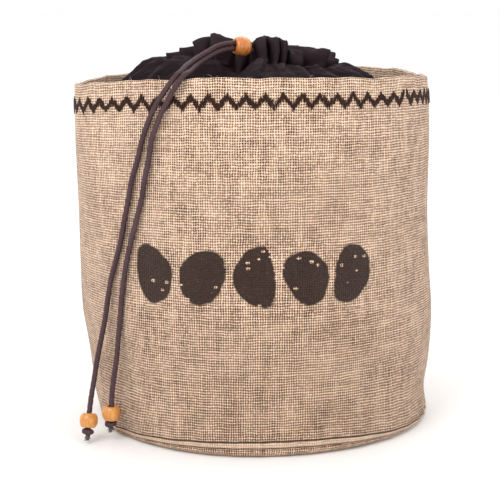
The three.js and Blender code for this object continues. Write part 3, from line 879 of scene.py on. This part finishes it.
def satinStitches(radius, outward):
    # the stitches of one face; outward is 1 outside the wall and -1 inside it
    turns, count, gap = zigzag["teeth"] * 2, zigzag["stitches"], zigzag["gapAngle"]
    share = (np.arange(count) + 0.5) / count
    corners = np.arange(turns + 1)
    heights = np.where(corners % 2, -zigzag["swing"], zigzag["swing"])
    heights = heights + zigzag["wobble"] * np.sin(corners * zigzag["turn"])
    middle = bag["height"] - zigzag["drop"] + np.interp(share * turns, corners, heights)
    middle = middle + chance.normal(0, zigzag["jitter"], count)
    half = zigzag["long"] / 2 * chance.uniform(*zigzag["longChange"], count)
    lean = chance.normal(0, zigzag["jitter"], count)
    angle = np.radians(zigzag["break"] + gap / 2 + share * (360 - gap))
    middle = middle + zigzag["tilt"] * np.sin(angle)
    rings = np.array(zigzag["rings"])
    place, thick = rings[:, :1], rings[:, 1:] * zigzag["wide"]
    side = ringTurns(zigzag["sides"])
    low, arch = zigzag["lift"]
    proud = thick * np.sin(side) * zigzag["flat"] + zigzag["wide"] * (low + arch * np.sqrt(1 - place ** 2))
    z = middle[:, None, None] + half[:, None, None] * place + np.zeros_like(proud)
    arc = thick * np.cos(side) + lean[:, None, None] * place
    out = radius + outward * proud
    turn = angle[:, None, None] + arc / radius
    points = np.stack([out * np.sin(turn), -out * np.cos(turn), z], axis=-1).reshape(-1, 3)
    rows, sides = proud.shape
    one, _, _ = gridFaces(rows, sides, False, True)
    one = [list(face) if outward > 0 else list(face)[::-1] for face in one]
    one += [list(range(sides)), [rows * sides - 1 - k for k in range(sides)]]
    faces = [[index + stitch * rows * sides for index in face] for stitch in range(count) for face in one]
    return slump(points), faces


threadSkin = strandFinish("brownThread", zigzag, Roughness=0.6, Specular_IOR_Level=0.25)
stitches = joinShapes([
    satinStitches(bag["radius"] + 0.1 * mm, 1),
    satinStitches(bag["radius"] - bag["hem"] - 0.05 * mm, -1),
])
dress(addMesh("satinZigzag", *stitches), threadSkin, "thread", "zigzag_stitching")
print("embroidery ready")


# Gathered lining: a straight tube of cloth, drawn in at its casing and settled by the solver

liningLook = {
    "round": 804 * mm,      # the tube before it is gathered
    "deep": 104 * mm,       # from the seat in the hem to the casing's seam
    "seatDrop": 1.5 * mm,
    "casing": 20 * mm,
    "spare": 1.34,          # the casing's cloth over its drawn height
    "puff": 1.3 * mm, "crumple": 1.6 * mm,
    "ridge": 2.6 * mm,      # the folds that run down from the casing, and how they fade
    "ridgePower": 2.4,
    "uneven": 0.1,
    "deepestPleat": 30 * mm,
    "slack": 0.98,
    "columns": 280, "rows": 30, "casingRows": 5, "seatRows": 3, "thick": 0.9 * mm,
}
cottonLook = {
    "twill": 2600, "slub": (60, 900), "cloud": (34.0, 3.0),
    "wrinkle": (115.0, 2.0, 0.6), "squash": (1.0, 1.0, 0.6),
    "tones": {"cloud": 0.7, "slub": 0.3},
    "bumps": {"twill": 0.4, "slub": 0.5, "wrinkle": 9},
    "dark": shade(38, 28, 31), "light": shade(64, 51, 56),
    "low": (0.36, 0.35, 0.36, 1),   # painted shade near the seat, under the casing: its tint, how far up it reaches, how fast it sets in
    "lowReach": 1.1, "seatShadeShare": 1.6,
    "bump": 0.12 * mm,
}
clothLook = {
    "scale": 8,             # the solver is steadier at a larger scale
    "frames": 36, "gravity": 0.5, "distance": 0.9 * mm,
    "hold": {"mound": 0.42, "casing": 0.34, "peaks": 0.5, "valleys": 0.9, "valleyBelow": -0.7},
    "settings": {"quality": 7, "mass": 0.1, "tension_stiffness": 16, "compression_stiffness": 16,
                 "shear_stiffness": 5, "bending_stiffness": 0.15, "use_pressure": True,
                 "uniform_pressure_force": 6, "air_damping": 2.0, "vertex_group_mass": "hold",
                 "pin_stiffness": 1.0},
}
lobes = {
    "angle": [-172, -156, -141, -125, -110, -96, -83, -68, -51, -34, -15,
              8, 21, 29, 39, 57, 77, 92, 106, 122, 139, 155, 171],
    "size": [1.0, 0.8, 1.1, 0.8, 1.0, 0.7, 1.1, 0.8, 1.0, 1.1, 0.3,
             1.3, 0.7, 0.6, 1.1, 1.2, 1.0, 0.7, 1.1, 0.8, 1.0, 0.8, 1.1],
}
casingRing = {
    "angle": [-170, -135, -90, -60, -35, -15, 8, 30, 57, 90, 135],
    "radius": [43, 43, 49, 45, 42, 35, 42, 43, 47, 49, 43],
    "height": [257, 257, 254, 259, 267, 256, 267, 262, 255, 252, 257],
    "lean": [4, 12, 32, 18, 4, 0, -2, 6, 30, 34, 14],
    "bulge": [5, 8, 13, 9, 3, 0, 0, 1, 7, 8, 7],
}
moundShape = {
    "along": [0.0, 0.035, 0.24, 0.48, 0.7, 0.88, 1.0],
    "up": [0.0, 0.05, 0.4, 0.78, 0.98, 1.04, 1.0],
}


def liningFinish():
    finish, look = Finish("darkCotton", Roughness=0.75, Specular_IOR_Level=0.08), cottonLook
    clothU, clothV = finish.parts(finish.clothPlace())
    warp, weft = clothU * look["twill"], clothV * look["twill"]
    twill = (warp + weft).maths("SINE") * (warp - weft).maths("SINE")
    place = finish.objectPlace()
    cloud = finish.noise(place, *look["cloud"])
    across, along = look["slub"]
    slub = finish.noise(finish.vector(clothU * across, clothV * along))
    share = (cloud * look["tones"]["cloud"] + slub * look["tones"]["slub"]).clamp()
    colour = finish.mix(share, look["dark"], look["light"])
    # painted shade: the lining darkens towards its seat
    low = 1 - (clothV / (liningLook["deep"] * look["lowReach"])).clamp()
    colour = finish.mix((low * look["seatShadeShare"]).clamp(), colour, look["low"], "MULTIPLY")
    wrinkle = finish.noise(finish.stretched(place, look["squash"]), *look["wrinkle"])
    bumps = look["bumps"]
    height = twill * bumps["twill"] + slub * bumps["slub"] + wrinkle * bumps["wrinkle"]
    return finish.wear(colour, height, look["bump"])


def pleatedRing():
    # the casing's seam as drawn in by the cord: places and outward directions for each column
    angles = np.linspace(-180, 180, 7201)
    middle = roundTable(casingRing, "radius", angles) * mm
    peaks = np.array(lobes["angle"], float)
    valleys = (peaks + np.roll(peaks, -1) + np.where(np.roll(peaks, -1) < peaks, 360, 0)) / 2
    keys = np.column_stack([peaks, valleys]).ravel()
    waves = np.column_stack([lobes["size"], np.full(len(peaks), -1.0)]).ravel()
    keys[-1] = min(keys[-1], 179.9)
    wave = readTable(keys, waves, angles, 360)
    around = outwards(np.radians(angles))
    shallow, deep = 0.0, liningLook["deepestPleat"]
    for _ in range(30):     # halves the range until the pleats take up all of the cloth
        depth = (shallow + deep) / 2
        ring = (middle + depth * wave)[:, None] * around
        gone = np.concatenate([[0], np.cumsum(np.hypot(*np.diff(ring, axis=0).T))])
        if gone[-1] < liningLook["round"] * liningLook["slack"]:
            shallow = depth
        else:
            deep = depth
    print("pleat depth", round(depth / mm, 2), "mm")
    even = np.linspace(0, gone[-1], liningLook["columns"], endpoint=False)
    at = np.interp(even, gone, angles)
    ring = np.column_stack([np.interp(even, gone, ring[:, axis]) for axis in (0, 1)])
    ahead = np.roll(ring, -1, axis=0) - np.roll(ring, 1, axis=0)
    normal = np.column_stack([ahead[:, 1], -ahead[:, 0]]) / np.hypot(*ahead.T)[:, None]
    return ring, normal, at, readTable(keys, waves, at, 360)


def liningShapes():
    # the gathered start of the cloth and its flat rest shape, row by row from the seat
    ring, normal, at, wave = pleatedRing()
    columns, rows, steps = (liningLook[name] for name in ("columns", "rows", "casingRows"))
    around = outwards(ringTurns(columns, -math.pi))
    seatRadius = bag["radius"] - bag["wall"] - bag["gap"]
    seatHeight = np.full(columns, bag["height"] - bag["hemDepth"] - liningLook["seatDrop"])
    seat = slump(np.column_stack([seatRadius * around, seatHeight]))
    seam, bulge = roundTable(casingRing, "height", at) * mm, roundTable(casingRing, "bulge", at) * mm
    lean = np.radians(roundTable(casingRing, "lean", at)) * np.clip(0.5 + wave * 0.5, 0, 1)
    out = ring / np.hypot(*ring.T)[:, None]
    heights = chance.normal(0, liningLook["uneven"], len(lobes["angle"]))
    uneven = 1 + readTable(lobes["angle"], heights, at, 360)
    gathered, rest, flatRadius = [], [], liningLook["round"] / 2 / math.pi
    for along in np.linspace(0, 1, rows + 1):
        place = seat[:, :2] + (ring - seat[:, :2]) * along
        up = readTable(moundShape["along"], moundShape["up"], np.full(columns, along))
        swell = (bulge + liningLook["ridge"] * wave) * math.sin(math.pi * along ** liningLook["ridgePower"])
        gathered.append(np.column_stack([place, seat[:, 2] + (seam - seat[:, 2]) * up + swell]))
        rest.append((flatRadius, along * liningLook["deep"]))
    steps = np.arange(1, steps + 1) / steps
    for side, shares in ((1, steps), (-1, 1 - steps)):
        for share in shares:
            rise = liningLook["casing"] * share
            puff = liningLook["puff"] * side * (math.sin(math.pi * min(share, 0.9)) if side > 0 else 1)
            place = ring + out * (np.sin(lean) * rise * uneven)[:, None] + normal * puff
            gathered.append(np.column_stack([place, seam + np.cos(lean) * rise * uneven]))
            rest.append((flatRadius - (0 if side > 0 else 2 * liningLook["puff"]),
                         liningLook["deep"] + rise * liningLook["spare"]))
    gathered = np.stack(gathered, axis=1)
    loose = gathered[:, liningLook["seatRows"]:]    # the seat's own rows aren't crumpled
    loose += chance.normal(0, liningLook["crumple"] / 3, loose.shape)
    rest = np.array(rest)
    flat = np.empty(gathered.shape)
    flat[..., :2] = around[:, None] * rest[:, :1]
    flat[..., 2] = rest[:, 1]
    return gathered, flat, wave


def settleCloth(piece, flat, hold):
    # lets the cloth settle from its gathered start and returns where its points come to rest
    scale, frames = clothLook["scale"], clothLook["frames"]
    start = np.array([v.co for v in piece.data.vertices]) * scale
    piece.data.vertices.foreach_set("co", start.ravel())
    piece.shape_key_add(name="gathered")
    restKey = piece.shape_key_add(name="flat")
    restKey.data.foreach_set("co", (flat.reshape(-1, 3) * scale).ravel())
    restKey.value = 0
    group = piece.vertex_groups.new(name="hold")
    for index, weight in enumerate(hold.ravel().tolist()):
        group.add([index], weight, "REPLACE")
    cloth = piece.modifiers.new("cloth", "CLOTH")
    for name, value in clothLook["settings"].items():
        setattr(cloth.settings, name, value)
    cloth.settings.effector_weights.gravity = clothLook["gravity"]
    cloth.settings.rest_shape_key = restKey
    cloth.collision_settings.use_self_collision = True
    cloth.collision_settings.self_distance_min = clothLook["distance"] * scale
    cloth.collision_settings.collision_quality = 2
    scene = bpy.context.scene
    scene.frame_start, scene.frame_end = 1, frames
    cloth.point_cache.frame_start, cloth.point_cache.frame_end = 1, frames
    for frameNumber in range(1, frames + 1):
        scene.frame_set(frameNumber)
    settled = piece.evaluated_get(bpy.context.evaluated_depsgraph_get())
    points = np.array([v.co for v in settled.data.vertices]) / scale
    piece.modifiers.remove(cloth)
    piece.shape_key_clear()
    piece.vertex_groups.clear()
    scene.frame_set(1)
    return points


def gatheredLining():
    gathered, flat, wave = liningShapes()
    columns, rows = gathered.shape[:2]
    faces, i, j = gridFaces(columns, rows)
    across = liningLook["round"] / columns
    length = np.linalg.norm(np.diff(flat[0], axis=0), axis=1)
    length = np.append(np.concatenate([[0], np.cumsum(length)]), 0)
    uv = clothCorners(i * across, (i + 1) * across, length[j], length[j + 1])
    piece = addMesh("gatheredLining", gathered, faces, uv)
    hold, look, seamRow = np.ones((columns, rows)), clothLook["hold"], liningLook["rows"]
    hold[:, 1:seamRow] = look["mound"]
    hold[:, seamRow:] = look["casing"]
    drawn = [seamRow + 1, seamRow + 2, -3, -2]  # the rows that the cord draws in
    hold[:, drawn] = np.where(wave < look["valleyBelow"], look["valleys"], look["peaks"])[:, None]
    points = gathered.reshape(-1, 3)
    points = settleCloth(piece, flat, hold)
    piece.data.vertices.foreach_set("co", points.ravel())
    piece.data.update()
    finer = piece.modifiers.new("finer", "SUBSURF")
    finer.levels = finer.render_levels = 1
    thick = piece.modifiers.new("thickness", "SOLIDIFY")
    thick.thickness, thick.offset = liningLook["thick"], -1
    return piece


lining = dress(gatheredLining(), liningFinish(), "lining", "gathered_lining")
print("lining ready")
